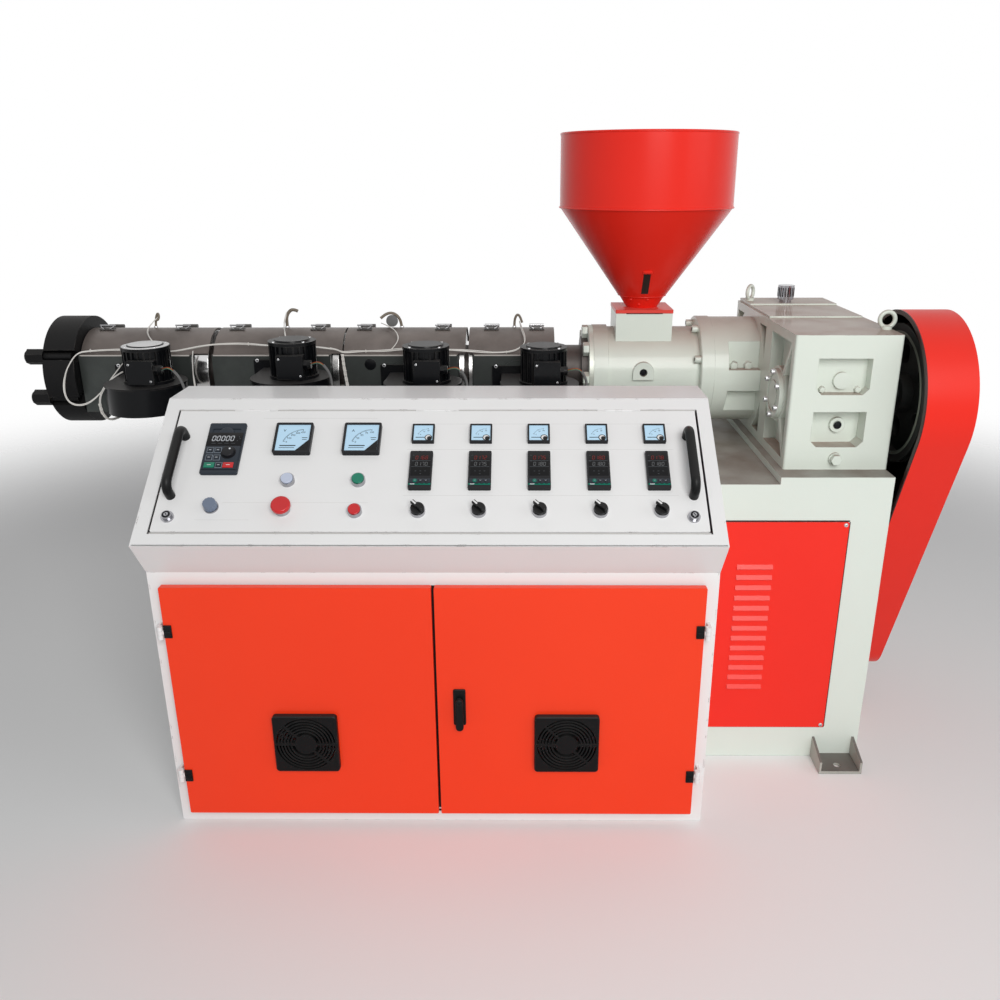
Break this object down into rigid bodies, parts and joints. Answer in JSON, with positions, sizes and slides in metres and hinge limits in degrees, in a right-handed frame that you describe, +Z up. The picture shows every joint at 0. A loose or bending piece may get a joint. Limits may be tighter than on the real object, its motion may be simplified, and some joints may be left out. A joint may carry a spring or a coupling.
{
  "type": "plastic extruder",
  "caption": "Single-screw plastic extruder: heated barrel with blowers, red feed hopper, gearbox on a pedestal, guarded belt drive and an instrument console with two doors.",
  "frame": {"origin": "on the floor, straight below the centre of the feed throat and the screw's centre line", "axes": "+X along the screw from the head towards the belt drive, +Y away from the operator's console, +Z up"},
  "size_m": [2.28, 1.085, 1.507],
  "materials": {
    "console_paint": "smooth off-white enamel",
    "door_paint": "glossy orange-red enamel",
    "machine_paint": "smooth pale grey-green enamel",
    "red_paint": "glossy red enamel",
    "black_paint": "satin black enamel",
    "heater_steel": "dull heat-browned steel sheet",
    "polished_steel": "polished",
    "machined_steel": "turned",
    "black_plastic": "matte moulded",
    "instrument_plastic": "moulded bezel",
    "grey_plastic": "matte moulded",
    "red_plastic": "moulded",
    "green_plastic": "moulded",
    "white_plastic": "moulded",
    "rubber_black": "matte moulded",
    "window_plastic": "smoked pane",
    "cast_grey": "machined rim",
    "blower_grey": "satin dark grey"
  },
  "bodies": {
    "root": {"console_sides": "console_paint", "console_wrap": "console_paint", "console_front": "console_paint", "console_apron": "console_paint", "console_panel_frame": "console_paint", "door_hinges": "black_paint", "base_pedestal": "machine_paint", "base_beam": "machine_paint", "barrel_stand": "machine_paint", "foot_plates": "machine_paint", "louvred_cover": "red_paint", "gearbox_housing": "machine_paint", "gearbox_fittings": "machine_paint", "thrust_housing": "machine_paint", "feed_section": "machine_paint", "hopper_base": "red_paint", "hopper": "red_paint", "barrel": "machined_steel", "head_clamp": "black_paint", "head_rods": "machined_steel", "heater_jackets": "heater_steel", "barrel_bands": "polished_steel", "blower_motors": "black_paint", "blower_volutes": "blower_grey", "belt_guard": "red_paint", "guard_brackets": "machine_paint", "bearing_cover": "machine_paint", "hopper_window": "window_plastic", "jacket_hinges": "heater_steel", "blower_brackets": "black_paint", "terminal_boxes": "black_paint", "drive_belts": "rubber_black", "outlet_collars": "heater_steel", "gearbox_breather": "polished_steel"},
    "door_left": {"door_left": "door_paint", "grille_left": "black_plastic"},
    "door_right": {"door_right": "door_paint", "grille_right": "black_plastic", "latch_plate": "black_plastic"},
    "door_latch": {"door_latch": "black_plastic"},
    "instrument_panel": {"instrument_panel": "console_paint", "drive_keypad": "grey_plastic", "large_meters": "instrument_plastic", "small_meters": "instrument_plastic", "temperature_controllers": "black_plastic", "control_bezels": "polished_steel", "panel_handles": "black_plastic"},
    "selector_knob_1": {"selector_knob_1": "black_plastic"},
    "selector_knob_2": {"selector_knob_2": "black_plastic"},
    "selector_knob_3": {"selector_knob_3": "black_plastic"},
    "selector_knob_4": {"selector_knob_4": "black_plastic"},
    "selector_knob_5": {"selector_knob_5": "black_plastic"},
    "speed_knob": {"speed_knob": "grey_plastic"},
    "emergency_stop": {"emergency_stop": "red_plastic"},
    "start_button": {"start_button": "green_plastic"},
    "stop_button": {"stop_button": "red_plastic"},
    "reset_button": {"reset_button": "white_plastic"},
    "driven_pulley": {"driven_pulley": "cast_grey"},
    "motor_pulley": {"motor_pulley": "cast_grey"}
  },
  "joints": [
    {"name": "door_left_hinge", "type": "hinge", "parent": "root", "child": "door_left", "pos_m": [-1.084, -0.74, 0.318], "axis": [0, 0, -1], "range_deg": [0, 110]},
    {"name": "door_right_hinge", "type": "hinge", "parent": "root", "child": "door_right", "pos_m": [0.076, -0.74, 0.318], "axis": [0, 0, 1], "range_deg": [0, 110]},
    {"name": "door_latch_turn", "type": "hinge", "parent": "door_right", "child": "door_latch", "pos_m": [-0.453, -0.74, 0.3335], "axis": [0, -1, 0], "range_deg": [0, 90]},
    {"name": "instrument_panel_lid", "type": "hinge", "parent": "root", "child": "instrument_panel", "pos_m": [-0.504, -0.49962, 0.92033], "axis": [-1, 0, 0], "range_deg": [0, 60]},
    {"name": "selector_knob_1_turn", "type": "hinge", "parent": "instrument_panel", "child": "selector_knob_1", "pos_m": [-0.53004, -0.71834, 0.76914], "axis": [0, -0.5992, 0.8006], "range_deg": [-90, 0]},
    {"name": "selector_knob_2_turn", "type": "hinge", "parent": "instrument_panel", "child": "selector_knob_2", "pos_m": [-0.40564, -0.71834, 0.76914], "axis": [0, -0.5992, 0.8006], "range_deg": [-90, 0]},
    {"name": "selector_knob_3_turn", "type": "hinge", "parent": "instrument_panel", "child": "selector_knob_3", "pos_m": [-0.28123, -0.71834, 0.76914], "axis": [0, -0.5992, 0.8006], "range_deg": [-90, 0]},
    {"name": "selector_knob_4_turn", "type": "hinge", "parent": "instrument_panel", "child": "selector_knob_4", "pos_m": [-0.15683, -0.71834, 0.76914], "axis": [0, -0.5992, 0.8006], "range_deg": [-90, 0]},
    {"name": "selector_knob_5_turn", "type": "hinge", "parent": "instrument_panel", "child": "selector_knob_5", "pos_m": [-0.03242, -0.71834, 0.76914], "axis": [0, -0.5992, 0.8006], "range_deg": [-90, 0]},
    {"name": "speed_knob_turn", "type": "hinge", "parent": "instrument_panel", "child": "speed_knob", "pos_m": [-0.95544, -0.71033, 0.77513], "axis": [0, -0.5992, 0.8006], "range_deg": [-270, 0]},
    {"name": "start_button_press", "type": "slide", "parent": "instrument_panel", "child": "start_button", "axis": [0, 0.5992, -0.8006], "range_m": [0, 0.003], "stiffness_N_per_m": 300},
    {"name": "stop_button_press", "type": "slide", "parent": "instrument_panel", "child": "stop_button", "axis": [0, 0.5992, -0.8006], "range_m": [0, 0.003], "stiffness_N_per_m": 300},
    {"name": "reset_button_press", "type": "slide", "parent": "instrument_panel", "child": "reset_button", "axis": [0, 0.5992, -0.8006], "range_m": [0, 0.003], "stiffness_N_per_m": 300},
    {"name": "emergency_stop_turn", "type": "hinge", "parent": "instrument_panel", "child": "emergency_stop", "pos_m": [-0.80796, -0.71514, 0.77153], "axis": [0, -0.5992, 0.8006], "range_deg": [0, 45]},
    {"name": "driven_pulley_spin", "type": "hinge", "parent": "root", "child": "driven_pulley", "pos_m": [0.616, -0.296, 0.912], "axis": [1, 0, 0], "continuous": true},
    {"name": "motor_pulley_spin", "type": "hinge", "parent": "root", "child": "motor_pulley", "pos_m": [0.616, -0.146, 0.192], "axis": [1, 0, 0], "continuous": true}
  ],
  "couplings": [
    {"joint": "motor_pulley_spin", "follows": "driven_pulley_spin", "ratio": 3.1923}
  ]
}
